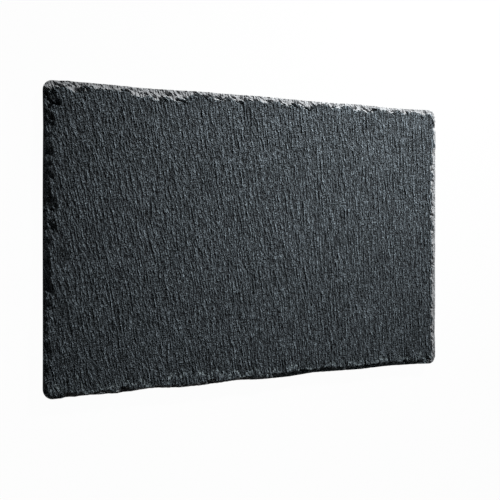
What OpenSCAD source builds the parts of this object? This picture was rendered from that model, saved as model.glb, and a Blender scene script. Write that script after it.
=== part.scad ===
/* [Slate] */
// Length of the slate, end to end
slate_length = 300; // [200:5:420]
// Width of the slate, front to back
slate_width = 200; // [140:5:300]
// Thickness of the split slate
slate_thickness = 5; // [4:0.5:10]
// Radius of the worn corners
corner_radius = 6; // [3:0.5:15]
// Most that the hand-trimmed outline wanders in from a straight line
outline_wander = 1.6; // [0:0.1:2.5]
// Straight length between two bends of the trimmed outline
trim_length = 22; // [12:1:30]

/* [Flaked edges] */
// Length along the edge for each small flake scar
scar_spacing = 9; // [7:0.5:20]
// Reach of the shortest flake scar, in from the edge
scar_reach_least = 3.2; // [2:0.1:5]
// Reach of the longest flake scar, in from the edge
scar_reach_most = 9; // [5.5:0.5:14]
// Depth of the shallowest scar, where it runs out at the edge
scar_drop_least = 1.6; // [1:0.1:2]
// Depth of the deepest scar, where it runs out at the edge
scar_drop_most = 3.4; // [2.2:0.1:3.6]
// Distance of a scar's centre outside the edge
scar_centre_out = 1.5; // [0.5:0.1:3]

/* [Feet] */
// Distance of each foot's centre from the two nearest slate edges
foot_inset = 24; // [16:1:45]
// Diameter of a rubber foot
foot_diameter = 12; // [8:0.5:20]
// Height of a rubber foot, without its foam disc
foot_height = 2.4; // [1.6:0.1:3]
// Radius of the rounded rim round the foot's tread
foot_rim_radius = 1; // [0.4:0.1:1.4]
// Diameter of the foam tape disc that holds a foot
adhesive_diameter = 11; // [6:0.5:18]
// Thickness of the foam tape disc
adhesive_thickness = 0.6; // [0.3:0.1:0.9]

/* [Hidden] */
// Smoothness of the round feet
$fn = 64;
// Bends in each rounded corner of the outline
corner_bends = 5;

underside_z = foot_height + adhesive_thickness;
face_z = underside_z + slate_thickness;
half_length = slate_length / 2;
half_width = slate_width / 2;

// The four edges in order round the board: front, right, rear, left. Each runs anticlockwise seen from
// above, from its own start corner, so that one set of functions serves all four.
edge_lengths = [slate_length, slate_width, slate_length, slate_width];
edge_turns = [0, 90, 180, 270];
edge_starts = [
    [-half_length, -half_width],
    [half_length, -half_width],
    [half_length, half_width],
    [-half_length, half_width]
];

// How far each edge wanders and how far its scars reach, as shares of the values above. The two long edges
// are trimmed the roughest, and the front and right edges lost the narrowest flakes.
edge_wander_shares = [1, 0.35, 0.6, 0.35];
edge_reach_shares = [0.55, 0.7, 1, 1];

// Seeds of the chance numbers that place the bends and the scars
bend_seed = 11;
small_shift_seed = 31;
small_reach_seed = 51;
small_drop_seed = 71;
long_drop_seed = 91;
// Bounds of those chance numbers: where a small scar lies in its own length of edge, how far it reaches
// between the least and the most reach, and how deep it and a long scar drop between the least and the most
small_shift_share_bounds = [0.25, 0.75];
small_reach_share_bounds = [0, 0.35];
small_drop_share_bounds = [0, 0.6];
long_drop_share_bounds = [0.5, 1];

// Places of the long flake scars along each edge, as shares of that edge from its start corner
long_scar_shares = [
    [0.05, 0.17, 0.245, 0.37, 0.46, 0.585, 0.70, 0.785, 0.91],
    [0.12, 0.29, 0.50, 0.70, 0.83],
    [0.14, 0.21, 0.385, 0.435, 0.56, 0.61, 0.71, 0.755, 0.80, 0.93],
    [0.07, 0.14, 0.235, 0.40, 0.47, 0.66, 0.86]
];
// Reach of those scars, as shares of the way from the least to the most reach
long_reach_shares = [
    [0.60, 0.75, 0.55, 0.70, 0.60, 0.80, 0.55, 0.75, 0.65],
    [0.70, 0.50, 0.60, 0.45, 0.55],
    [0.45, 0.50, 0.70, 0.60, 0.55, 0.45, 0.90, 1.00, 0.80, 0.75],
    [1.00, 0.85, 0.55, 0.95, 0.90, 0.60, 0.65]
];

// Chance shares between two bounds, always the same ones for a seed
function chance_shares(share_bounds, count, seed) = rands(share_bounds[0], share_bounds[1], count, seed);

// Point at a distance along an edge and a distance in from it
function edge_point(edge, along, inward) =
    let (turn = edge_turns[edge])
    edge_starts[edge] + [
        along * cos(turn) - inward * sin(turn),
        along * sin(turn) + inward * cos(turn)
    ];

// Bends of one trimmed edge. The ones next to the corners and the middle one stay on the straight line,
// so the slate keeps its full size; the others wander in. Squared shares make most of them small.
function edge_bends(edge) =
    let (
        straight = edge_lengths[edge] - 2 * corner_radius,
        steps = 2 * round(straight / trim_length / 2),
        wander = outline_wander * edge_wander_shares[edge],
        wander_shares = chance_shares([0, 1], steps + 1, bend_seed + edge)
    )
    [
        for (step = [0 : steps])
            edge_point(
                edge,
                corner_radius + straight * step / steps,
                step == 0 || step == steps || step == steps / 2 ? 0 : wander * wander_shares[step]^2
            )
    ];

// Bends of the rounded corner that follows an edge
function corner_points(edge) =
    let (centre = edge_point(edge, edge_lengths[edge] - corner_radius, corner_radius))
    [
        for (bend = [1 : corner_bends])
            let (angle = edge_turns[edge] - 90 + 90 * bend / (corner_bends + 1))
            centre + corner_radius * [cos(angle), sin(angle)]
    ];

outline_points = [for (edge = [0 : 3]) each concat(edge_bends(edge), corner_points(edge))];

// One flake scar: a shallow shell-shaped hollow, cut by a ball whose centre lies above the face and just
// outside the edge. It reaches in by `reach` at the face and drops by `drop` at the edge.
module flake_scar(edge, along, reach, drop) {
    face_radius = reach + scar_centre_out;
    centre_height = (face_radius^2 - scar_centre_out^2 - drop^2) / (2 * drop);
    place = edge_point(edge, along, -scar_centre_out);
    translate([place.x, place.y, face_z + centre_height])
        sphere(r = sqrt(face_radius^2 + centre_height^2));
}

// Reach and drop of a scar, for its shares of the way from the least to the most
function scar_reach(edge, share) =
    edge_reach_shares[edge] * (scar_reach_least + (scar_reach_most - scar_reach_least) * share);
function scar_drop(share) = scar_drop_least + (scar_drop_most - scar_drop_least) * share;

// The small scars that follow each other all along an edge
module small_scars(edge) {
    steps = round(edge_lengths[edge] / scar_spacing);
    shift_shares = chance_shares(small_shift_share_bounds, steps, small_shift_seed + edge);
    reach_shares = chance_shares(small_reach_share_bounds, steps, small_reach_seed + edge);
    drop_shares = chance_shares(small_drop_share_bounds, steps, small_drop_seed + edge);
    for (step = [0 : steps - 1])
        flake_scar(
            edge,
            edge_lengths[edge] * (step + shift_shares[step]) / steps,
            scar_reach(edge, reach_shares[step]),
            scar_drop(drop_shares[step])
        );
}

// The long scars, where one blow took off a wide flake
module long_scars(edge) {
    count = len(long_scar_shares[edge]);
    drop_shares = chance_shares(long_drop_share_bounds, count, long_drop_seed + edge);
    for (scar = [0 : count - 1])
        flake_scar(
            edge,
            edge_lengths[edge] * long_scar_shares[edge][scar],
            scar_reach(edge, long_reach_shares[edge][scar]),
            scar_drop(drop_shares[scar])
        );
}

module slate_plate() {
    color("#3f464b")
        difference() {
            translate([0, 0, underside_z])
                linear_extrude(height = slate_thickness)
                    polygon(outline_points);
            for (edge = [0 : 3]) {
                small_scars(edge);
                long_scars(edge);
            }
        }
}

// Centre of a foot: side_x and side_y are -1 or 1, for left or right and front or rear
function foot_centre(side_x, side_y) = [side_x * (half_length - foot_inset), side_y * (half_width - foot_inset)];

// Half section of a rubber foot, from its axis outward, with the tread's rounded rim at the bottom
module foot_section() {
    flat_radius = foot_diameter / 2 - foot_rim_radius;
    square([flat_radius, foot_height]);
    translate([0, foot_rim_radius])
        square([foot_diameter / 2, foot_height - foot_rim_radius]);
    intersection() {
        translate([flat_radius, foot_rim_radius])
            circle(r = foot_rim_radius);
        square([foot_diameter / 2, foot_height]);
    }
}

module foot(side_x, side_y) {
    color("#1b1b1c")
        translate(foot_centre(side_x, side_y))
            rotate_extrude()
                foot_section();
}

module adhesive(side_x, side_y) {
    place = foot_centre(side_x, side_y);
    color("#d9d8d2")
        translate([place.x, place.y, foot_height])
            cylinder(d = adhesive_diameter, h = adhesive_thickness);
}

slate_plate();
foot(-1, -1);  // foot_front_left
foot(1, -1);  // foot_front_right
foot(-1, 1);  // foot_rear_left
foot(1, 1);  // foot_rear_right
adhesive(-1, -1);  // adhesive_front_left
adhesive(1, -1);  // adhesive_front_right
adhesive(-1, 1);  // adhesive_rear_left
adhesive(1, 1);  // adhesive_rear_right
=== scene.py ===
import math

import bpy
import numpy as np
from mathutils import Matrix, Vector
from mathutils.bvhtree import BVHTree


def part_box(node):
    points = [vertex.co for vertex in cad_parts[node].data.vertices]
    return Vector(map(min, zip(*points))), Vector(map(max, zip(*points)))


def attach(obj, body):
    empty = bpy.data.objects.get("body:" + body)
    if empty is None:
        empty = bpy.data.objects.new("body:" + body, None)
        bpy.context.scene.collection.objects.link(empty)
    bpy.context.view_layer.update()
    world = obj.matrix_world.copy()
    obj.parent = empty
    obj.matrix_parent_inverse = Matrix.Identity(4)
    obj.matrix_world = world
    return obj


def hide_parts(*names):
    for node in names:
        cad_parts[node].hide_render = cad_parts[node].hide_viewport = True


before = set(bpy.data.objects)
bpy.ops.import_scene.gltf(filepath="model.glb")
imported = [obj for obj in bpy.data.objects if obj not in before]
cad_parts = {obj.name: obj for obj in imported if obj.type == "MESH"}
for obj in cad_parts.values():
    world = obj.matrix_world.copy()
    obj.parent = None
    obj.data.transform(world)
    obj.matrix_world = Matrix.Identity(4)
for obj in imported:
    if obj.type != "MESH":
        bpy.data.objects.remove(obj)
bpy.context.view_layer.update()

bl_info = {
    "name": "Slate serving board",
    "version": (1, 0, 0),
    "blender": (4, 5, 0),
    "location": "View3D > Sidebar > Slate board",
    "description": "Builds a board of split slate with flaked edges, its stick-on feet and a small studio",
    "category": "Add Mesh",
}

MM = 0.001
CORNERS = ("front_left", "front_right", "rear_left", "rear_right")

# Colours of the dust on the rubber and of the backdrop's paper
DUST_COLOUR = (0.06, 0.058, 0.055)
PAPER_COLOUR = (0.65, 0.65, 0.65, 1.0)

# Sides round the backdrop, and steps of its curve from floor to wall
SWEEP_TURNS = 96
SWEEP_STEPS = 12

# Width of the camera's sensor in millimetres, which the lens setting counts on
SENSOR_WIDTH = 36.0


# Sizes and colours that a user may change


def colour_setting(name, description, colour):
    """A colour that a user may change."""
    return bpy.props.FloatVectorProperty(
        name=name, description=description, default=colour, size=3, min=0.0, max=1.0, subtype="COLOR"
    )


def place_setting(name, description, place):
    """A place that a user may change."""
    return bpy.props.FloatVectorProperty(
        name=name, description=description, default=place, size=3, subtype="TRANSLATION", unit="LENGTH"
    )


def angle_setting(name, description, degrees):
    """An angle that a user may change."""
    return bpy.props.FloatProperty(
        name=name, description=description, default=math.radians(degrees), subtype="ANGLE"
    )


class SlateSettings(bpy.types.PropertyGroup):
    """Sizes and colours of the split slate. Its relief is in millimetres, as a mason would say it."""

    grain_spacing: bpy.props.FloatProperty(
        name="Grain spacing",
        description="Distance from one grain ridge to the next, across the grain, in millimetres",
        default=2.6,
        min=0.8,
        max=6.0,
    )
    grain_depth: bpy.props.FloatProperty(
        name="Grain depth",
        description="Usual height of the grain ridges, in millimetres",
        default=0.11,
        min=0.0,
        max=0.3,
    )
    grain_run: bpy.props.FloatProperty(
        name="Grain run",
        description="Length that the longest grain lines keep straight, in millimetres",
        default=9.0,
        min=1.0,
        max=60.0,
    )
    lean_left: angle_setting(
        "Lean at the left", "Lean of the grain from the board's short direction, at the left end", 11.5
    )
    lean_right: angle_setting(
        "Lean at the right", "Lean of the grain from the board's short direction, at the right end", 1.0
    )
    swell_depth: bpy.props.FloatProperty(
        name="Swell depth",
        description="Usual depth of the broad swells of the riven face, in millimetres",
        default=0.01,
        min=0.0,
        max=0.5,
    )
    cleft_step: bpy.props.FloatProperty(
        name="Cleft step",
        description="Height of the steps where the split jumped from one layer to the next, in millimetres",
        default=0.008,
        min=0.0,
        max=0.5,
    )
    layer_thickness: bpy.props.FloatProperty(
        name="Layer thickness",
        description="Thickness of the layers that the flaked edges break into, in millimetres",
        default=0.55,
        min=0.2,
        max=1.5,
    )
    mesh_step: bpy.props.FloatProperty(
        name="Mesh step",
        description="Distance between the points of the mesh over the face, in millimetres",
        default=0.46,
        min=0.4,
        max=4.0,
    )
    face_colour: colour_setting("Face colour", "Colour of the split face", (0.054, 0.065, 0.073))
    flake_colour: colour_setting("Flake colour", "Colour of the freshly broken edges", (0.314, 0.325, 0.336))
    worn_flake_colour: colour_setting(
        "Worn flake colour",
        "Colour of the patches where the broken edges have weathered",
        (0.235, 0.237, 0.240),
    )
    thin_flake_colour: colour_setting(
        "Thin flake colour",
        "Colour of the thinnest chips, which keep some of the face's blue",
        (0.215, 0.262, 0.280),
    )


class FootSettings(bpy.types.PropertyGroup):
    """Colours of the stick-on feet and of the foam tape that holds them."""

    rubber_colour: colour_setting(
        "Rubber colour", "Colour of the moulded rubber feet", (0.014, 0.014, 0.015)
    )
    foam_colour: colour_setting("Foam colour", "Colour of the foam tape discs", (0.62, 0.61, 0.58))
    turns: bpy.props.IntProperty(
        name="Turns",
        description="Number of sides round each foot",
        default=96,
        min=24,
        max=256,
    )


class StudioSettings(bpy.types.PropertyGroup):
    """The camera, the lamps and the floor."""

    lens: bpy.props.FloatProperty(
        name="Lens",
        description="Focal length on a 36 mm wide sensor",
        default=50.5,
        min=10.0,
        max=300.0,
        unit="CAMERA",
    )
    camera_place: place_setting(
        "Camera place",
        "Where the camera stands, from the middle of the board's footprint",
        (-0.20627, 0.00775, 0.4570),
    )
    camera_turn: angle_setting(
        "Camera turn", "Angle between the line of sight and a line straight down on the face", 23.54
    )
    horizon_shift: bpy.props.FloatProperty(
        name="Horizon shift",
        description="Upward shift of the picture, as a share of its width",
        default=-0.046,
        min=-0.2,
        max=0.2,
    )
    key_place: place_setting(
        "Key lamp place",
        "Where the key lamp hangs, from the middle of the board's footprint",
        (0.8621, 1.27, 0.7193),
    )
    key_size: bpy.props.FloatProperty(
        name="Key lamp size",
        description="Side of the square key lamp",
        default=0.12,
        min=0.01,
        max=2.0,
        unit="LENGTH",
    )
    key_spread: angle_setting("Key lamp spread", "Width of the key lamp's beam", 25.45)
    key_aim: place_setting(
        "Key lamp aim",
        "Point that the key lamp is turned to, from the middle of the board's footprint",
        (0.2433, 0.3495, 0.008),
    )
    key_power: bpy.props.FloatProperty(
        name="Key lamp power",
        description="Power of the key lamp",
        default=2.36,
        min=0.0,
        max=500.0,
        unit="POWER",
    )
    fill: bpy.props.FloatProperty(
        name="Fill",
        description="Strength of the even light from all round",
        default=0.02,
        min=0.0,
        max=2.0,
    )
    backdrop_radius: bpy.props.FloatProperty(
        name="Backdrop radius",
        description="Radius of the round paper sweep that the board stands in",
        default=6.0,
        min=1.0,
        max=50.0,
        unit="LENGTH",
    )
    backdrop_height: bpy.props.FloatProperty(
        name="Backdrop height",
        description="Height of the sweep's wall",
        default=3.2,
        min=0.5,
        max=20.0,
        unit="LENGTH",
    )
    sweep_radius: bpy.props.FloatProperty(
        name="Sweep radius",
        description="Radius of the curve where the floor turns up into the wall",
        default=1.0,
        min=0.1,
        max=5.0,
        unit="LENGTH",
    )
    floor_lift: bpy.props.FloatProperty(
        name="Floor lift",
        description="Share of the floor's look that is plain white, the rest being its light and shadow",
        default=0.975,
        min=0.0,
        max=1.0,
    )


# Node helpers


def new_material(name):
    """A fresh node material with one Principled shader, and its tree and shader."""
    material = bpy.data.materials.new(name)
    material.use_nodes = True
    tree = material.node_tree
    shader = tree.nodes["Principled BSDF"]
    return material, tree, shader


def add_node(tree, kind, inputs=None, **settings):
    """Adds a node, sets its properties and fills its sockets with values or links."""
    made = tree.nodes.new(kind)
    for name, value in settings.items():
        setattr(made, name, value)
    for name, value in (inputs or {}).items():
        if isinstance(value, bpy.types.NodeSocket):
            tree.links.new(value, made.inputs[name])
        else:
            made.inputs[name].default_value = value
    return made


def stretched(tree, vector, scale):
    """The vector with each axis times its own number."""
    return add_node(tree, "ShaderNodeVectorMath", {0: vector, 1: scale}, operation="MULTIPLY").outputs[0]


def noise(tree, vector, scale, detail=3.0, roughness=0.55, distortion=0.0, flat=False):
    """Noise from about 0.25 to 0.75, stretched by scale. Flat noise is the same at any height."""
    inputs = {
        "Vector": stretched(tree, vector, scale),
        "Scale": 1.0,
        "Detail": detail,
        "Roughness": roughness,
        "Distortion": distortion,
    }
    kind = "2D" if flat else "3D"
    return add_node(tree, "ShaderNodeTexNoise", inputs, noise_dimensions=kind).outputs["Fac"]


def ranged(tree, value, low, high, to_low, to_high, smooth=False):
    """The value mapped from one range to another and held at its ends."""
    inputs = {"Value": value, "From Min": low, "From Max": high, "To Min": to_low, "To Max": to_high}
    kind = "SMOOTHSTEP" if smooth else "LINEAR"
    return add_node(tree, "ShaderNodeMapRange", inputs, interpolation_type=kind).outputs["Result"]


def maths(tree, operation, first, second):
    """One sum on two values."""
    return add_node(tree, "ShaderNodeMath", {0: first, 1: second}, operation=operation).outputs[0]


def mixed(tree, share, first, second):
    """Two colours mixed by a share."""
    made = add_node(tree, "ShaderNodeMix", data_type="RGBA", blend_type="MIX")
    for socket, value in ((made.inputs[0], share), (made.inputs[6], first), (made.inputs[7], second)):
        if isinstance(value, bpy.types.NodeSocket):
            tree.links.new(value, socket)
        elif socket.type == "RGBA":
            socket.default_value = (*value, 1.0)
        else:
            socket.default_value = value
    return made.outputs[2]


def shaded(tree, colour, value):
    """A colour times a value."""
    return add_node(tree, "ShaderNodeVectorMath", {0: colour, "Scale": value}, operation="SCALE").outputs[0]


def bumped(tree, height, distance, normal=None):
    """A bump of a real height, over another normal if one is given."""
    inputs = {"Height": height, "Distance": distance, "Strength": 1.0}
    if normal is not None:
        inputs["Normal"] = normal
    return add_node(tree, "ShaderNodeBump", inputs).outputs["Normal"]


# Materials


def slate_material(settings):
    """Split slate: blue-grey with the grain's streaks and grit, partly painted glints in its speckle and
    dashes, painted shade in the grain's hollows and painted highlight on its crests, and paler where flakes
    came off, less so on the left and front edges as painted shade.
    """
    material, tree, shader = new_material("riven_slate")
    grain = add_node(tree, "ShaderNodeAttribute", attribute_name="grain").outputs["Vector"]
    # The flake share holds painted shade too: it is lower on the left and front edges, away from the key lamp
    flake = add_node(tree, "ShaderNodeAttribute", attribute_name="flake").outputs["Fac"]
    # Painted shade and highlight: darker where the grain is low, lighter on its crests
    hollow = add_node(tree, "ShaderNodeAttribute", attribute_name="hollow").outputs["Fac"]

    # Scales are marks per millimetre across the grain, along it and in height
    clouds = noise(tree, grain, (0.045, 0.03, 0.3))
    streaks = noise(tree, grain, (0.5, 0.03, 0.5), detail=1.0, roughness=0.5, distortion=0.3, flat=True)
    # Dashes and speckle are partly the grain's paler marks and partly painted glints of its mica
    dashes = noise(tree, grain, (0.7, 0.09, 0.7), detail=0.0, roughness=0.5, distortion=0.2, flat=True)
    speckle = noise(tree, grain, (1.0, 0.33, 1.0), detail=0.0, roughness=0.5, flat=True)
    grit = noise(tree, grain, (1.5, 1.1, 1.5), detail=0.0, roughness=0.5, flat=True)
    layers = noise(tree, grain, (0.10, 0.10, 2.6), roughness=0.6, distortion=0.3)

    # Each pattern's low and high value, and how much it darkens and brightens the face there
    tone = ranged(tree, clouds, 0.3, 0.7, 0.97, 1.03)
    for pattern, low, high, darkest, brightest in (
        (streaks, 0.35, 0.65, 0.8, 1.2),
        # Speckle and dashes brighten the face partly as painted glints
        (speckle, 0.34, 0.66, 0.62, 1.45),
        (grit, 0.36, 0.66, 0.2, 2.0),
        (dashes, 0.38, 0.62, 0.7, 1.35),
        # Painted shade in the grain's hollows and painted highlight on its crests
        (hollow, -1.0, 1.0, 0.7, 1.3),
    ):
        tone = maths(tree, "MULTIPLY", tone, ranged(tree, pattern, low, high, darkest, brightest))
    face = shaded(tree, tuple(settings.face_colour), tone)

    patches = noise(tree, grain, (0.06, 0.04, 0.5), detail=2.0)
    worn_share = ranged(tree, patches, 0.5, 0.7, 0.0, 0.5)
    broken = mixed(tree, worn_share, tuple(settings.flake_colour), tuple(settings.worn_flake_colour))
    thick_share = ranged(tree, flake, 0.6, 0.9, 0.0, 1.0)
    broken = mixed(tree, thick_share, tuple(settings.thin_flake_colour), broken)
    crumbs = noise(tree, grain, (1.5, 0.9, 3.0), roughness=0.6, distortion=0.5)
    crumb_tone = ranged(tree, crumbs, 0.3, 0.7, 0.78, 1.22)
    broken_tone = maths(tree, "MULTIPLY", crumb_tone, ranged(tree, layers, 0.3, 0.7, 0.8, 1.2))
    broken = shaded(tree, broken, broken_tone)

    ragged = maths(tree, "ADD", flake, ranged(tree, crumbs, 0.3, 0.7, -0.25, 0.25))
    share = ranged(tree, ragged, 0.3, 0.7, 0.0, 1.0, smooth=True)
    tree.links.new(mixed(tree, share, face, broken), shader.inputs["Base Color"])

    sheen_spots = noise(tree, grain, (0.5, 0.16, 0.5))
    tree.links.new(ranged(tree, sheen_spots, 0.3, 0.7, 0.6, 0.8), shader.inputs["Roughness"])
    shader.inputs["Specular IOR Level"].default_value = 0.12

    fine = bumped(tree, speckle, 0.85 * MM, bumped(tree, grit, 0.5 * MM))
    grained = bumped(tree, dashes, 0.8 * MM, fine)
    tree.links.new(bumped(tree, layers, 0.25 * MM, grained), shader.inputs["Normal"])
    return material


def rubber_material(settings):
    """Moulded black rubber with a soft mould texture and a little pale dust."""
    material, tree, shader = new_material("foot_rubber")
    place = add_node(tree, "ShaderNodeNewGeometry").outputs["Position"]
    dust = noise(tree, place, (260.0, 260.0, 420.0), detail=4.0, roughness=0.6)
    texture = noise(tree, place, (3200.0, 3200.0, 3200.0), detail=2.0)
    dust_share = ranged(tree, dust, 0.5, 0.75, 0.0, 0.3)
    colour = mixed(tree, dust_share, tuple(settings.rubber_colour), DUST_COLOUR)
    tree.links.new(colour, shader.inputs["Base Color"])
    tree.links.new(ranged(tree, dust, 0.3, 0.7, 0.5, 0.72), shader.inputs["Roughness"])
    tree.links.new(bumped(tree, texture, 0.03 * MM), shader.inputs["Normal"])
    return material


def foam_material(settings):
    """Closed-cell foam tape, off-white, with its cut cells."""
    material, tree, shader = new_material("foam_tape")
    place = add_node(tree, "ShaderNodeNewGeometry").outputs["Position"]
    cells = add_node(tree, "ShaderNodeTexVoronoi", {"Vector": place, "Scale": 5200.0}).outputs["Distance"]
    stain = noise(tree, place, (180.0, 180.0, 180.0))
    cell_tone = ranged(tree, cells, 0.0, 0.7, 0.72, 1.08)
    tone = maths(tree, "MULTIPLY", cell_tone, ranged(tree, stain, 0.3, 0.7, 0.85, 1.05))
    tree.links.new(shaded(tree, tuple(settings.foam_colour), tone), shader.inputs["Base Color"])
    shader.inputs["Roughness"].default_value = 0.85
    tree.links.new(bumped(tree, cells, 0.08 * MM), shader.inputs["Normal"])
    return material


# Shape of the slate


class StoneNoise:
    """Seeded noise over a repeating square of stone, in millimetres. A run draws it out into grain lines."""

    # Distance between its points, and points along a side
    PITCH = 0.25
    CELLS = 2048

    def __init__(self, seed, spacing, stretch=1.0, spread=0.45, run=None):
        white = np.random.default_rng(seed).standard_normal((self.CELLS, self.CELLS))
        across = np.fft.fftfreq(self.CELLS, self.PITCH)[None, :]
        along = np.fft.fftfreq(self.CELLS, self.PITCH)[:, None] * stretch
        counted = np.hypot(across, along) if run is None else np.hypot(across, 0 * along)
        reach = np.maximum(counted * spacing, 1e-9)
        kept = np.exp(-0.5 * (np.log(reach) / spread) ** 2)
        if run is not None:
            kept = kept * np.exp(-0.5 * (2 * np.pi * along * run) ** 2)
        field = np.fft.ifft2(np.fft.fft2(white) * kept).real
        self.field = field / field.std()

    def at(self, across, along):
        """The noise at these places, about -2 to 2, read between its four nearest points."""
        column = np.asarray(across) / self.PITCH
        row = np.asarray(along) / self.PITCH
        left = np.floor(column).astype(int)
        low = np.floor(row).astype(int)
        right_share = column - left
        high_share = row - low
        left, right = left % self.CELLS, (left + 1) % self.CELLS
        low, high = low % self.CELLS, (low + 1) % self.CELLS
        lower = self.field[low, left] * (1 - right_share) + self.field[low, right] * right_share
        upper = self.field[high, left] * (1 - right_share) + self.field[high, right] * right_share
        return lower * (1 - high_share) + upper * high_share


def eased(value):
    """A smooth step from 0 to 1."""
    held = np.clip(value, 0, 1)
    return held * held * (3 - 2 * held)


def length_along(points):
    """Distance run along a line of points, at each of them."""
    return np.concatenate([[0], np.cumsum(np.linalg.norm(np.diff(points, axis=0), axis=1))])


class SlateShape:
    """Works out the slate's points, in millimetres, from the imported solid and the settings."""

    # Width and rings of the band between the outline and the inner grid, and how they crowd outward
    BAND = 14.0
    RINGS = 26
    RING_CROWDING = 1.15
    # Length next to each corner over which the outline's points spread out
    CORNER_EASING = 40.0
    # Length of a mesh cell along the grain for each millimetre across it
    LONG_STEP = 1.75
    # Points of the face for one of the underside, and rings of the underside
    UNDER_REDUCTION = 3
    UNDER_RINGS = 7
    WALL_ROWS = 8

    # Highest crest of a grain line, in grain depths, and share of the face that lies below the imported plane
    CREST_LIMIT = 3.0
    BELOW_PLANE = 0.99
    # Height of the grain, in grain depths, at which the painted shade in the hollows is darkest and the
    # painted highlight on the crests brightest
    PAINTED_SHADE_REACH = 2.2
    # Depth of the chips along the front edge
    CHIP_DEPTH = 0.45
    # Least height of stone under a scar
    LEAST_WALL = 0.9
    # How freshly broken the side wall looks, from 0 to 1
    WALL_FLAKE = 0.45

    # The chipped arris: width, least width and depth all round, and what the nearness of each side adds
    ARRIS = (1.6, 0.8, 1.3)
    ARRIS_REAR = (0.5, 0.0, 0.0)
    ARRIS_RIGHT = (2.8, 1.6, 0.9)
    ARRIS_LEFT = (2.8, 2.6, 2.8)
    ARRIS_FRONT = (2.1, 1.8, 2.5)

    # Bites in the side wall: usual depth, what the layers and the nicks add, and the deepest
    BITE = 0.16
    BITE_LAYERS = 0.13
    BITE_NICKS = 0.08
    BITE_DEEPEST = 0.6

    # Cosine and sine of the slant at which flakes came off the edges, and of the front chips' own slant
    SLANT = (0.87, 0.49)
    CHIP_SLANT = (0.80, 0.60)
    # Scars shallower than this are deepened, for a steeper rim, and deeper ones are raised a little
    STEEP_DEPTH = 1.9

    # Length, width and seed of the shell-shaped hollows, the fine ones, the deep pits and the front chips
    SHELLS = (10.0, 3.0, 21)
    FINE_SHELLS = (3.4, 1.4, 22)
    PITS = (8.0, 2.6, 23)
    CHIPS = (2.8, 1.8, 25)
    # Shells along a side of the square that repeats
    SHELL_CELLS = 64

    # Bruised band along the front edge: distance from the edge, how far it sways, and width
    BRUISE_INSET = 5.5
    BRUISE_SWAY = 2.2
    BRUISE_WIDTH = 2.6

    # Place of the riven stone that the underside shows, and how rough it is against the face
    UNDER_PLACE = (71, 37)
    UNDER_ROUGHNESS = 1.2
    UNDER_SHARE = 0.8
    # Flat ring that the underside keeps round each foam disc
    FOOT_CLEARANCE = 0.5

    def __init__(self, solid, settings):
        self.settings = settings
        points = np.array([v.co for v in solid.data.vertices]) / MM
        self.bottom_z = points[:, 2].min()
        self.face_z = points[:, 2].max()
        self.half = points[:, :2].max(0)
        self.outline = self.read_outline(points)
        self.tree = BVHTree.FromPolygons(
            [Vector(p) for p in points], [tuple(p.vertices) for p in solid.data.polygons]
        )
        # Each noise has a seed of its own, so that none changes when another does
        spacing, run = settings.grain_spacing, settings.grain_run
        self.lines = StoneNoise(1, spacing * 1.2, spread=0.4, run=run)
        self.ridges = StoneNoise(2, spacing * 0.9, spread=0.35, run=run * 0.3)
        self.threads = StoneNoise(5, spacing * 0.58, spread=0.3, run=run * 0.05)
        self.swells = StoneNoise(3, 26.0, 1.7)
        self.clefts = StoneNoise(4, 12.0, 6.0, 0.5)
        self.slants = StoneNoise(6, 2.6, 3.0, 0.4)
        self.splits = StoneNoise(7, 0.9, 14.0, 0.5)
        self.nicks = StoneNoise(8, 5.0, 1.0, 0.7)

    def read_outline(self, points):
        """The rim of the underside, anticlockwise from the front left corner."""
        rim = np.unique(np.round(points[points[:, 2] < self.bottom_z + 0.01][:, :2], 4), axis=0)
        turns = np.arctan2(rim[:, 1], rim[:, 0])
        rim = rim[np.argsort(turns)]
        start = np.argmax(-rim[:, 0] - rim[:, 1])
        return np.roll(rim, -start, axis=0)

    def sides(self):
        """The front, right, rear and left runs of the outline, each with both its corner points."""
        rim = self.outline
        cuts = [0]
        for across, along in ((1, -1), (1, 1), (-1, 1)):
            cuts.append(int(np.argmax(rim[:, 0] * across + rim[:, 1] * along)))
        cuts.append(len(rim))
        closed = np.vstack([rim, rim[:1]])
        return [closed[a : b + 1] for a, b in zip(cuts, cuts[1:])]

    def rim_points(self, counts):
        """Points of the outline, one for each point round the inner grid, anticlockwise."""
        found = []
        easing = self.CORNER_EASING
        for side, count, half in zip(self.sides(), counts, (*self.half, *self.half)):
            run = length_along(side)
            inner_length = 2 * (half - self.BAND)
            extra = (run[-1] - inner_length) / 2
            inner = np.arange(count) / count * inner_length
            outer = inner + extra * (eased(inner / easing) + eased((inner - inner_length + easing) / easing))
            found.append(np.stack([np.interp(outer, run, side[:, k]) for k in (0, 1)], axis=1))
        return np.vstack(found)

    def rightness(self, x):
        """How far these places are from the left end towards the right end, from 0 to 1."""
        return (x / self.half[0] + 1) / 2

    def grain_at(self, x, y):
        """Places across and along the grain. The grain leans a little less towards the right end."""
        settings = self.settings
        lean = settings.lean_left + (settings.lean_right - settings.lean_left) * self.rightness(x)
        return x * np.cos(lean) + y * np.sin(lean), y * np.cos(lean) - x * np.sin(lean)

    def grained(self, x, y):
        """Height of the grain alone, in grain depths, about -2 to 4: lines, shorter ridges and threads."""
        across, along = self.grain_at(x, y)
        sway = 0.4 * self.swells.at(across * 2.3 + 40, along * 2.3)
        wander = sway + self.swells.at(across * 0.7, along + 90)
        line = self.lines.at(across + wander, along)
        ridge = self.ridges.at(across + wander, along)
        thread = self.threads.at(across + wander, along)
        sharpened = np.minimum(line * np.sqrt(np.abs(line) + 0.15), self.CREST_LIMIT)
        crest = np.where(line > 0, sharpened, 0.9 * np.tanh(line))
        right = self.rightness(x)
        return (0.85 + 0.2 * right) * crest + 0.8 * np.tanh(ridge) + (0.8 - 0.4 * right) * np.tanh(thread)

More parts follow.
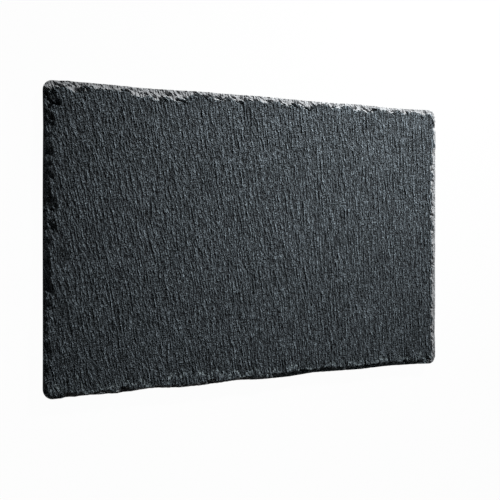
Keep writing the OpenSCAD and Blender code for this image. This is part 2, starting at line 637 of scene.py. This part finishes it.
    def riven(self, x, y):
        """Height of the riven stone in millimetres: its grain, broad swells and small steps."""
        across, along = self.grain_at(x, y)
        grained = self.grained(x, y)
        swell = self.swells.at(across, along)
        cleft = self.clefts.at(across, along) + 0.12 * grained
        steps = sum(eased((cleft - level) / 0.25) for level in (-1.1, -0.1, 0.9)) - 1.5
        return (
            self.settings.grain_depth * grained
            + self.settings.swell_depth * swell
            + self.settings.cleft_step * steps
        )

    def nearness(self, x, y):
        """How near these places are to the rear, right and left edges, from 0 to 1."""
        rear = eased((y - self.half[1] + 18) / 4)
        return rear, eased((x - self.half[0] + 16) / 6), eased((-x - self.half[0] + 14) / 4)

    def rim_bevel(self, x, y, inset):
        """Depth of the chipped arris that runs all round, so that the rim keeps its full height nowhere."""
        rear, right, left = self.nearness(x, y)
        # The right side's arris fades towards the rear corner, and the left side's towards the front one
        right = right * (0.2 + 0.8 * eased((70 - y) / 15))
        left = left * (0.2 + 0.8 * eased((y + 55) / 30))
        front = self.front_right(x, y)
        rough = (0.5 + 0.3 * right + 0.5 * left) * self.nicks.at(x * 0.35, y * 0.35)
        width, least, deepest = (
            all_round + by_rear * rear + by_right * right + by_left * left + by_front * front
            for all_round, by_rear, by_right, by_left, by_front in zip(
                self.ARRIS, self.ARRIS_REAR, self.ARRIS_RIGHT, self.ARRIS_LEFT, self.ARRIS_FRONT
            )
        )
        width = np.maximum(width + rough, least)
        return deepest * np.clip(1 - inset / width, 0, 1)

    def front_right(self, x, y):
        """Nearness to the front edge, growing towards its right end, where its arris is steepest."""
        return eased((-y - self.half[1] + 14) / 4) * eased((x + 40) / 80) * eased((self.half[0] - 4 - x) / 6)

    def front_chips(self, x, y):
        """Small chips that the trimming left along the front edge, and its bruised band, from 0 to 1."""
        centre = self.BRUISE_INSET + self.BRUISE_SWAY * self.nicks.at(x * 0.25, np.full(len(x), 40.0))
        nearness = np.exp(-(((y + self.half[1] - centre) / self.BRUISE_WIDTH) ** 2))
        cosine, sine = self.CHIP_SLANT
        spots = self.shells(x * cosine - y * sine, x * sine + y * cosine, *self.CHIPS)
        chips = eased((spots - 0.89 + 0.3 * nearness) / 0.12) * eased(nearness / 0.3)
        return np.maximum(chips, 0.5 * nearness)

    def flaked_depth(self, x, y, inset):
        """Depth of the flake scars below the face, broken into the slate's layers."""
        cosine, sine = self.SLANT
        slope_along, slope_across = x * cosine - y * sine, x * sine + y * cosine
        rear, right, left = self.nearness(x, y)
        ragged = self.slants.at(slope_across, slope_along)
        ragged = ragged * (1 - 0.7 * right * (1 - rear))

        # The solid's scars, with their rims pulled to and fro along the slant
        shift = (0.3 + 1.2 * rear) * ragged * eased(inset / 3.0)
        narrowed = 0.9 * left * (1 - eased((y + 55) / 30))
        cast = self.cast(x + cosine * shift, y - sine * shift) - narrowed
        cast = np.maximum(cast, self.rim_bevel(x, y, inset))

        # Their floors, steeper at the rim than the balls that cut the solid
        depth = cast + 0.22 * ragged * eased(cast / 0.5)
        steepness = 0.75 + 0.25 * left
        depth = self.STEEP_DEPTH * (np.maximum(depth, 0) / self.STEEP_DEPTH) ** steepness
        depth = depth * (1 - 0.4 * right * (1 - rear))

        # Shell-shaped hollows and a few deep pits, which the right and left ends have less of
        calm = 0.5 * right * (1 - rear) + 0.8 * left * (1 - rear) + 0.45 * rear * eased((x - 50) / 60)
        started = eased(cast / 0.3) * (0.2 + 0.8 * eased((inset - 0.6) / 2.0)) * (1 - calm)
        shells = 0.6 * self.shells(slope_along, slope_across, *self.SHELLS)
        shells += 0.2 * self.shells(slope_along, slope_across, *self.FINE_SHELLS)
        pits = self.shells(slope_along, slope_across, *self.PITS)
        shells += 1.6 * eased((pits - 0.70) / 0.08) * eased((inset - 1.8) / 1.5)
        broken = np.maximum(depth + (shells - 0.3) * started, 0)

        # Treads and risers of the layers, mixed half and half with the smooth floor
        layer = self.settings.layer_thickness
        level = np.maximum(broken / layer + 0.35 * ragged * started, 0)
        tread = np.floor(level)
        stepped = (tread + eased((level - tread) / 0.3)) * layer
        return (0.5 * broken + 0.5 * stepped) * eased(cast / 0.08)

    def shells(self, along, across, length, width, seed):
        """Shell-shaped hollows that meet in sharp ridges, from 0 on the ridges to about 1 in the hollows."""
        cells = self.SHELL_CELLS
        spread = np.random.default_rng(seed).random((cells, cells, 3))
        u, v = along / length, across / width
        column, row = np.floor(u).astype(int), np.floor(v).astype(int)
        nearest = np.full(len(u), 9.0)
        for step_u in (-1, 0, 1):
            for step_v in (-1, 0, 1):
                a, b = column + step_u, row + step_v
                centre = spread[a % cells, b % cells]
                far = (u - a - centre[:, 0]) ** 2 + (v - b - centre[:, 1]) ** 2
                nearest = np.minimum(nearest, far * (0.8 + 0.6 * centre[:, 2]) + 0.25 * centre[:, 2])
        return 1 - np.clip(nearest / 0.9, 0, 1)

    def cast(self, x, y):
        """Depth of the solid's surface below its face, straight down at these places."""
        # The rays start well above the face, and a hair inside the rim so that none passes it by
        start = self.face_z + 5.0
        inward = 0.03
        down = Vector((0, 0, -1))
        found = np.zeros(len(x))
        for index, (px, py) in enumerate(zip(x, y)):
            reach = math.hypot(px, py)
            shrink = 1 - inward / max(reach, 1.0)
            hit = self.tree.ray_cast(Vector((px * shrink, py * shrink, start)), down)
            found[index] = self.face_z - hit[0].z if hit[0] is not None else self.face_z - self.bottom_z
        return found

    def inner_grid(self, columns, rows):
        """Points of the grid inside the band, their numbers by row and column, and its rim, anticlockwise."""
        inner = self.half - self.BAND
        across = np.linspace(-inner[0], inner[0], columns + 1)
        along = np.linspace(-inner[1], inner[1], rows + 1)
        grid_x, grid_y = np.meshgrid(across, along)
        ids = np.arange(grid_x.size).reshape(grid_x.shape)
        loop = np.concatenate([ids[0, :-1], ids[:-1, -1], ids[-1, :0:-1], ids[:0:-1, 0]])
        return np.stack([grid_x.ravel(), grid_y.ravel()], axis=1), ids, loop

    def face_heights(self, x, y, depth, chips):
        """Height of the face: riven stone, calmer in the scars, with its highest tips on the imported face."""
        riven = self.riven(x, y)
        calm = 1 - 0.7 * eased(depth / 0.6)
        relief = np.minimum(riven - np.quantile(riven, self.BELOW_PLANE), 0) * calm
        height = self.face_z + relief - depth - self.CHIP_DEPTH * chips
        return np.clip(height, self.bottom_z + self.LEAST_WALL, self.face_z)

    def broken_and_shaded(self, x, y, depth, chips):
        """How freshly broken the face looks, from 0 to 1, with painted shade on its left and front edges,
        which face away from the key lamp and keep less of the pale broken colour.
        """
        left = self.nearness(x, y)[2] * (1 - eased((y - self.half[1] + 9) / 4))
        # Painted shade: less of the pale broken colour on the left and front edges, away from the key lamp
        painted_shade_factor = (1 - 0.75 * left) * (1 - 0.5 * self.front_right(x, y))
        return np.maximum(eased((depth - 0.12) / 0.35) * painted_shade_factor, 0.65 * chips)

    def grain_map(self, points):
        """Places across and along the grain for the material, whose marks grow longer towards the right."""
        across, along = self.grain_at(points[:, 0], points[:, 1])
        shortened = 1 - 0.3 * self.rightness(points[:, 0]) ** 2
        return np.column_stack([across, along * shortened, points[:, 2]])

    def build(self):
        """Points, faces and point values of the whole slate, and its numbers of faces for the bake map."""
        step = self.settings.mesh_step
        thirds = self.UNDER_REDUCTION
        inner = self.half - self.BAND
        columns = thirds * round(2 * inner[0] / step / thirds)
        rows = thirds * round(2 * inner[1] / (step * self.LONG_STEP) / thirds)
        counts = (columns, rows, columns, rows)
        rim = self.rim_points(counts)
        around = len(rim)

        grid, ids, loop = self.inner_grid(columns, rows)
        shares = np.linspace(0, 1, self.RINGS + 1)[:-1] ** self.RING_CROWDING
        rings = [rim + (grid[loop] - rim) * share for share in shares]
        plan = np.vstack([grid, *rings])
        x, y = plan[:, 0], plan[:, 1]

        first = len(grid)
        depth = np.zeros(len(x))
        inset = np.repeat(shares * self.BAND, around)
        depth[first:] = self.flaked_depth(x[first:], y[first:], inset)
        chips = self.front_chips(x, y)
        top = np.column_stack([plan, self.face_heights(x, y, depth, chips)])
        # Share of pale broken colour, with painted shade on the left and front edges
        top_flake = self.broken_and_shaded(x, y, depth, chips)

        faces = [grid_faces(ids)]
        ring_ids = [first + k * around + np.arange(around) for k in range(len(rings))] + [loop]
        faces += [band_faces(outer, inner_ring) for outer, inner_ring in zip(ring_ids, ring_ids[1:])]
        top_faces = sum(len(f) for f in faces)

        wall, wall_ids = self.wall_points(rim, top[ring_ids[0]], len(top))
        wall_ids = [ring_ids[0]] + wall_ids
        faces += [band_faces(lower, upper) for upper, lower in zip(wall_ids, wall_ids[1:])]
        wall_faces = sum(len(f) for f in faces) - top_faces

        under, under_quads, triangles = self.underside(rim, counts, wall_ids[-1], len(top) + len(wall))
        points = np.vstack([top, wall, under])
        quads = np.vstack(faces + under_quads)
        flake = np.concatenate([top_flake, np.full(len(wall), self.WALL_FLAKE), np.zeros(len(under))])
        # Painted shade in the grain's hollows and painted highlight on its crests, from the grain's height
        hollow = np.zeros(len(points))
        hollow[: len(top)] = np.clip(self.grained(x, y) / self.PAINTED_SHADE_REACH, -1, 1)
        parts = (top_faces, wall_faces, around)
        return points, quads, triangles, flake, hollow, self.grain_map(points), parts

    def wall_points(self, rim, top_ring, first):
        """Rows of points down the broken side wall. The last row is the rim of the underside."""
        run = length_along(rim)
        inward = -rim / np.linalg.norm(rim, axis=1)[:, None]
        rows, ids = [], []
        for row in range(1, self.WALL_ROWS + 1):
            share = row / self.WALL_ROWS
            z = top_ring[:, 2] + (self.bottom_z - top_ring[:, 2]) * share
            bite = self.BITE + self.BITE_LAYERS * self.splits.at(z, run)
            bite = bite + self.BITE_NICKS * self.nicks.at(run, z)
            bite = np.clip(bite, 0, self.BITE_DEEPEST) * (row < self.WALL_ROWS)
            place = rim + inward * bite[:, None]
            rows.append(np.column_stack([place, z]))
            ids.append(first + (row - 1) * len(rim) + np.arange(len(rim)))
        return np.vstack(rows), ids

    def underside(self, rim, counts, rim_ids, first):
        """The underside: a strip of triangles down to every third point, a few rings, then a coarse grid."""
        thirds = self.UNDER_REDUCTION
        grid, ids, loop = self.inner_grid(counts[0] // thirds, counts[1] // thirds)
        coarse_rim = rim[::thirds]
        shares = np.linspace(0, 1, self.UNDER_RINGS + 2)[1:-1]
        rings = [coarse_rim + (grid[loop] - coarse_rim) * share for share in shares]
        plan = np.vstack([grid, *rings])
        x, y = plan[:, 0], plan[:, 1]
        place_x, place_y = self.UNDER_PLACE
        riven = self.riven(-x + place_x, y + place_y) * self.UNDER_ROUGHNESS
        clear = self.distance_to_feet(x, y)
        edge = np.min(np.stack([self.half[0] - abs(x), self.half[1] - abs(y)]), axis=0)
        lift = (riven.max() - riven) * eased(clear / 3.0) * eased(edge / 6.0)
        points = np.column_stack([plan, self.bottom_z + lift * self.UNDER_SHARE])

        # The faces look down, so they turn the other way
        quads = [first + grid_faces(ids)[:, [0, 3, 2, 1]]]
        around = len(coarse_rim)
        ring_ids = [first + len(grid) + k * around + np.arange(around) for k in range(len(rings))]
        ring_ids.append(first + loop)
        quads += [band_faces(inner_ring, outer) for outer, inner_ring in zip(ring_ids, ring_ids[1:])]
        fine = np.append(rim_ids, rim_ids[0])
        coarse = np.append(ring_ids[0], ring_ids[0][0])
        triangles = []
        for k in range(around):
            f0, f1, f2, f3 = fine[thirds * k : thirds * k + thirds + 1]
            c0, c1 = coarse[k], coarse[k + 1]
            triangles += [(f0, c0, f1), (f1, c0, f2), (f2, c0, c1), (f2, c1, f3)]
        return points, quads, np.array(triangles)

    def distance_to_feet(self, x, y):
        """Distance from the bare ring round the nearest foam disc, 0 within it."""
        nearest = np.full(len(x), np.inf)
        for corner in CORNERS:
            low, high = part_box("adhesive_" + corner)
            centre = (low + high) / 2 / MM
            radius = (high.x - low.x) / 2 / MM
            away = np.hypot(x - centre.x, y - centre.y) - radius - self.FOOT_CLEARANCE
            nearest = np.minimum(nearest, away)
        return np.maximum(nearest, 0)


def grid_faces(ids):
    """Quads of a grid of point numbers, anticlockwise."""
    corners = (ids[:-1, :-1], ids[:-1, 1:], ids[1:, 1:], ids[1:, :-1])
    return np.column_stack([corner.ravel() for corner in corners])


def band_faces(outer, inner):
    """Quads between two rings of point numbers that run anticlockwise."""
    return np.column_stack([outer, np.roll(outer, -1), np.roll(inner, -1), inner])


def lay_out_map(mesh, shape, parts):
    """Lays the bake map out flat, with the face, the underside and the wall's four sides apart."""
    top_faces, wall_faces, around = parts
    # The face takes the width but a tenth, where the wall's four strips stand, and the underside is smaller
    margin = 0.005
    scale = 0.9 / (2 * shape.half[0])
    under_scale = 0.6 * scale
    strips_left, strip_pitch, strip_width, strip_height = 0.912, 0.0215, 0.0175, 0.88
    vertex = np.zeros(len(mesh.loops), dtype=np.int32)
    mesh.loops.foreach_get("vertex_index", vertex)
    points = np.zeros(len(mesh.vertices) * 3)
    mesh.vertices.foreach_get("co", points)
    points = points.reshape(-1, 3) / MM
    place = np.zeros((len(vertex), 2))
    top_loops = 4 * top_faces
    wall_end = top_loops + 4 * wall_faces
    flat = points[vertex[:top_loops], :2] + shape.half
    place[:top_loops] = margin + flat * scale

    run = np.linspace(0, 4, around + 1)
    rows = wall_faces // around
    row_width = strip_width / rows
    index = np.tile(np.arange(around), rows)
    row = np.repeat(np.arange(rows), around)
    side = np.floor(run[index]).astype(int)
    start, end = run[index] - side, run[index + 1] - side
    left = strips_left + strip_pitch * side + row * row_width
    corners = [(left + row_width, start), (left + row_width, end), (left, end), (left, start)]
    wall = np.stack([np.stack([a, margin + b * strip_height], axis=1) for a, b in corners], axis=1)
    place[top_loops:wall_end] = wall.reshape(-1, 2)

    flat = points[vertex[wall_end:], :2] + shape.half
    below = 2 * shape.half[1] * scale + 3 * margin
    place[wall_end:] = np.array([margin, below]) + flat * under_scale
    layer = mesh.uv_layers.new(name="OFBake")
    layer.data.foreach_set("uv", place.ravel())


def mesh_object(name, points, faces, material):
    """A smooth mesh object from points in metres."""
    mesh = bpy.data.meshes.new(name)
    mesh.from_pydata(points, [], faces)
    mesh.materials.append(material)
    mesh.polygons.foreach_set("use_smooth", [True] * len(mesh.polygons))
    piece = bpy.data.objects.new(name, mesh)
    bpy.context.scene.collection.objects.link(piece)
    return piece


def lathe(name, profile, turns, centre, material):
    """A closed turned piece: the profile runs from the axis at the bottom to the axis at the top."""
    rows = []
    for radius, z in profile[1:-1]:
        angles = np.arange(turns) / turns * 2 * np.pi
        rows.append(np.column_stack([radius * np.cos(angles), radius * np.sin(angles), np.full(turns, z)]))
    ends = np.array([[0, 0, profile[0][1]], [0, 0, profile[-1][1]]])
    points = np.vstack([*rows, ends]) + np.array([centre.x, centre.y, 0])
    ring_ids = [k * turns + np.arange(turns) for k in range(len(rows))]
    faces = np.vstack([band_faces(a, b) for a, b in zip(ring_ids, ring_ids[1:])]).tolist()
    bottom, top = len(points) - 2, len(points) - 1
    for a, b in zip(ring_ids[0], np.roll(ring_ids[0], -1)):
        faces.append((int(bottom), int(b), int(a)))
    for a, b in zip(ring_ids[-1], np.roll(ring_ids[-1], -1)):
        faces.append((int(top), int(a), int(b)))
    return mesh_object(name, points.tolist(), faces, material)


# Pieces


class BOARD_OT_slate(bpy.types.Operator):
    """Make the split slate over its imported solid"""

    bl_idname = "board.slate"
    bl_label = "Slate"
    bl_options = {"REGISTER", "UNDO"}

    def execute(self, context):
        settings = context.scene.board_slate
        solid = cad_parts.get("slate_plate")
        if solid is None:
            raise RuntimeError("the frame has no slate_plate to build on")
        shape = SlateShape(solid, settings)
        points, quads, triangles, flake, hollow, grain, parts = shape.build()
        faces = quads.tolist() + triangles.tolist()
        piece = mesh_object("riven_slate", (points * MM).tolist(), faces, slate_material(settings))
        mesh = piece.data
        # The grain-height values are painted shade and highlight; the flake values carry painted shade on the
        # left and front edges
        for name, values in (("flake", flake), ("hollow", hollow)):
            mesh.attributes.new(name, "FLOAT", "POINT").data.foreach_set("value", values)
        mesh.attributes.new("grain", "FLOAT_VECTOR", "POINT").data.foreach_set("vector", grain.ravel())
        lay_out_map(mesh, shape, parts)
        mesh.set_sharp_from_angle(angle=math.radians(50))
        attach(piece, "root")
        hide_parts("slate_plate")
        return {"FINISHED"}


class BOARD_OT_feet(bpy.types.Operator):
    """Make the four moulded rubber feet"""

    bl_idname = "board.feet"
    bl_label = "Rubber feet"
    bl_options = {"REGISTER", "UNDO"}

    def execute(self, context):
        settings = context.scene.board_feet
        material = rubber_material(settings)
        for corner in CORNERS:
            node = "foot_" + corner
            low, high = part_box(node)
            radius, height = (high.x - low.x) / 2, high.z - low.z
            profile = self.profile(radius, height)
            piece = lathe("bumper_" + corner, profile, settings.turns, (low + high) / 2, material)
            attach(piece, "root")
            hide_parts(node)
        return {"FINISHED"}

    def profile(self, radius, height):
        """Half section: a tread with a shallow dimple, a rounded rim, a parting line and a straight top."""
        rim = 1.0 * MM
        rim_steps = 8
        dimple = 0.25 * MM
        dimple_floor, dimple_rim = 0.55, 0.68
        line = 0.06 * MM
        parting = height * 0.62
        tread = radius - rim
        section = [(0, dimple), (tread * dimple_floor, dimple), (tread * dimple_rim, 0.0), (tread, 0.0)]
        for step in range(1, rim_steps):
            angle = math.radians(90 * step / rim_steps)
            section.append((tread + rim * math.sin(angle), rim - rim * math.cos(angle)))
        section += [(radius, rim)]
        section += [(radius, parting - line), (radius - line, parting), (radius, parting + line)]
        section += [(radius, height - 3 * line), (radius - 2 * line, height), (0, height)]
        return section


class BOARD_OT_foam_discs(bpy.types.Operator):
    """Make the four discs of foam tape between the feet and the slate"""

    bl_idname = "board.foam_discs"
    bl_label = "Foam discs"
    bl_options = {"REGISTER", "UNDO"}

    def execute(self, context):
        settings = context.scene.board_feet
        material = foam_material(settings)
        for corner in CORNERS:
            node = "adhesive_" + corner
            low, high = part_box(node)
            radius = (high.x - low.x) / 2
            waist = radius - 0.08 * MM
            lip = 0.1 * MM
            middle = (low.z + high.z) / 2
            profile = [(0, low.z), (waist, low.z), (radius, low.z + lip), (waist, middle)]
            profile += [(radius, high.z - lip), (waist, high.z), (0, high.z)]
            piece = lathe("foam_" + corner, profile, settings.turns, (low + high) / 2, material)
            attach(piece, "root")
            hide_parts(node)
        return {"FINISHED"}


class BOARD_OT_studio(bpy.types.Operator):
    """Make the floor, the lamps, the background and the camera"""

    bl_idname = "board.studio"
    bl_label = "Studio"
    bl_options = {"REGISTER", "UNDO"}

    def execute(self, context):
        settings = context.scene.board_studio
        scene = context.scene
        scene.view_settings.view_transform = "Standard"
        self.floor(settings)
        self.background(scene, settings)
        self.key_lamp(scene, settings)
        self.camera(scene, settings)
        return {"FINISHED"}

    def seen_rays(self, tree):
        """1 for what the camera, a gloss or a clear piece sees, 0 for light on its way."""
        path = add_node(tree, "ShaderNodeLightPath").outputs
        seen = maths(tree, "MAXIMUM", path["Is Camera Ray"], path["Is Glossy Ray"])
        return maths(tree, "MAXIMUM", seen, path["Is Transmission Ray"])

    def floor(self, settings):
        """A round sweep of white paper, floor and wall in one, that keeps the board's shadow."""
        material, tree, shader = new_material("paper_backdrop")
        tree.nodes.remove(shader)
        paper = add_node(tree, "ShaderNodeBsdfDiffuse", {"Color": PAPER_COLOUR}).outputs[0]
        white = add_node(tree, "ShaderNodeEmission", {"Strength": 1.0}).outputs[0]
        share = maths(tree, "MULTIPLY", self.seen_rays(tree), settings.floor_lift)
        look = add_node(tree, "ShaderNodeMixShader", {0: share, 1: paper, 2: white}).outputs[0]
        tree.links.new(look, tree.nodes["Material Output"].inputs["Surface"])
        sweep, radius, height = settings.sweep_radius, settings.backdrop_radius, settings.backdrop_height
        profile = [(radius - sweep, 0.0)]
        for step in range(1, SWEEP_STEPS + 1):
            angle = math.radians(90 * step / SWEEP_STEPS)
            profile.append((radius - sweep + sweep * math.sin(angle), sweep - sweep * math.cos(angle)))
        profile.append((radius, height))
        angles = [2 * math.pi * k / SWEEP_TURNS for k in range(SWEEP_TURNS)]
        points = [(r * math.cos(a), r * math.sin(a), z) for r, z in profile for a in angles]
        ring_ids = [k * SWEEP_TURNS + np.arange(SWEEP_TURNS) for k in range(len(profile))]
        faces = [list(range(SWEEP_TURNS))]
        faces += np.vstack([band_faces(b, a) for a, b in zip(ring_ids, ring_ids[1:])]).tolist()
        mesh_object("backdrop", points, faces, material)

    def background(self, scene, settings):
        """An even, faint fill from above the sweep."""
        world = bpy.data.worlds.new("studio")
        scene.world = world
        world.use_nodes = True
        sky = world.node_tree.nodes["Background"]
        sky.inputs["Strength"].default_value = settings.fill
        sky.inputs["Color"].default_value = (1.0, 1.0, 1.0, 1.0)

    def key_lamp(self, scene, settings):
        """One small lamp beyond the rear right corner, which rakes across the grain."""
        lamp = bpy.data.lights.new("key_lamp", "AREA")
        lamp.size = settings.key_size
        lamp.energy = settings.key_power
        lamp.spread = settings.key_spread
        holder = bpy.data.objects.new("key_lamp", lamp)
        place = Vector(settings.key_place)
        aim = Vector(settings.key_aim) - place
        holder.location = place
        holder.rotation_mode = "QUATERNION"
        holder.rotation_quaternion = aim.to_track_quat("-Z", "Y")
        scene.collection.objects.link(holder)

    def camera(self, scene, settings):
        """The photograph's view: almost straight down, turned about the board's short direction."""
        data = bpy.data.cameras.new("camera")
        data.lens = settings.lens
        data.sensor_width = SENSOR_WIDTH
        data.shift_y = settings.horizon_shift
        data.clip_start = 0.01
        turn = settings.camera_turn
        right = Vector((math.cos(turn), 0, math.sin(turn)))
        up = Vector((0, 1, 0))
        back = Vector((-math.sin(turn), 0, math.cos(turn)))
        holder = bpy.data.objects.new("camera", data)
        turned = Matrix((right, up, back)).transposed().to_4x4()
        holder.matrix_world = Matrix.Translation(settings.camera_place) @ turned
        scene.collection.objects.link(holder)
        scene.camera = holder


OPERATORS = (BOARD_OT_slate, BOARD_OT_feet, BOARD_OT_foam_discs, BOARD_OT_studio)
SETTINGS = (("board_slate", SlateSettings), ("board_feet", FootSettings), ("board_studio", StudioSettings))


class BOARD_PT_panel(bpy.types.Panel):
    """Buttons and settings of the slate board"""

    bl_idname = "BOARD_PT_panel"
    bl_label = "Slate board"
    bl_space_type = "VIEW_3D"
    bl_region_type = "UI"
    bl_category = "Slate board"

    def draw(self, context):
        layout = self.layout
        for operator in OPERATORS:
            layout.operator(operator.bl_idname)
        for name, group in SETTINGS:
            box = layout.box()
            for key in group.__annotations__:
                box.prop(getattr(context.scene, name), key)


def register():
    for _, group in SETTINGS:
        bpy.utils.register_class(group)
    for operator in OPERATORS:
        bpy.utils.register_class(operator)
    bpy.utils.register_class(BOARD_PT_panel)
    for name, group in SETTINGS:
        setattr(bpy.types.Scene, name, bpy.props.PointerProperty(type=group))


def unregister():
    for name, _ in SETTINGS:
        delattr(bpy.types.Scene, name)
    bpy.utils.unregister_class(BOARD_PT_panel)
    for operator in reversed(OPERATORS):
        bpy.utils.unregister_class(operator)
    for _, group in reversed(SETTINGS):
        bpy.utils.unregister_class(group)


def main():
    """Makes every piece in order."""
    register()
    bpy.ops.board.slate()
    bpy.ops.board.feet()
    bpy.ops.board.foam_discs()
    bpy.ops.board.studio()


if __name__ == "__main__":
    main()
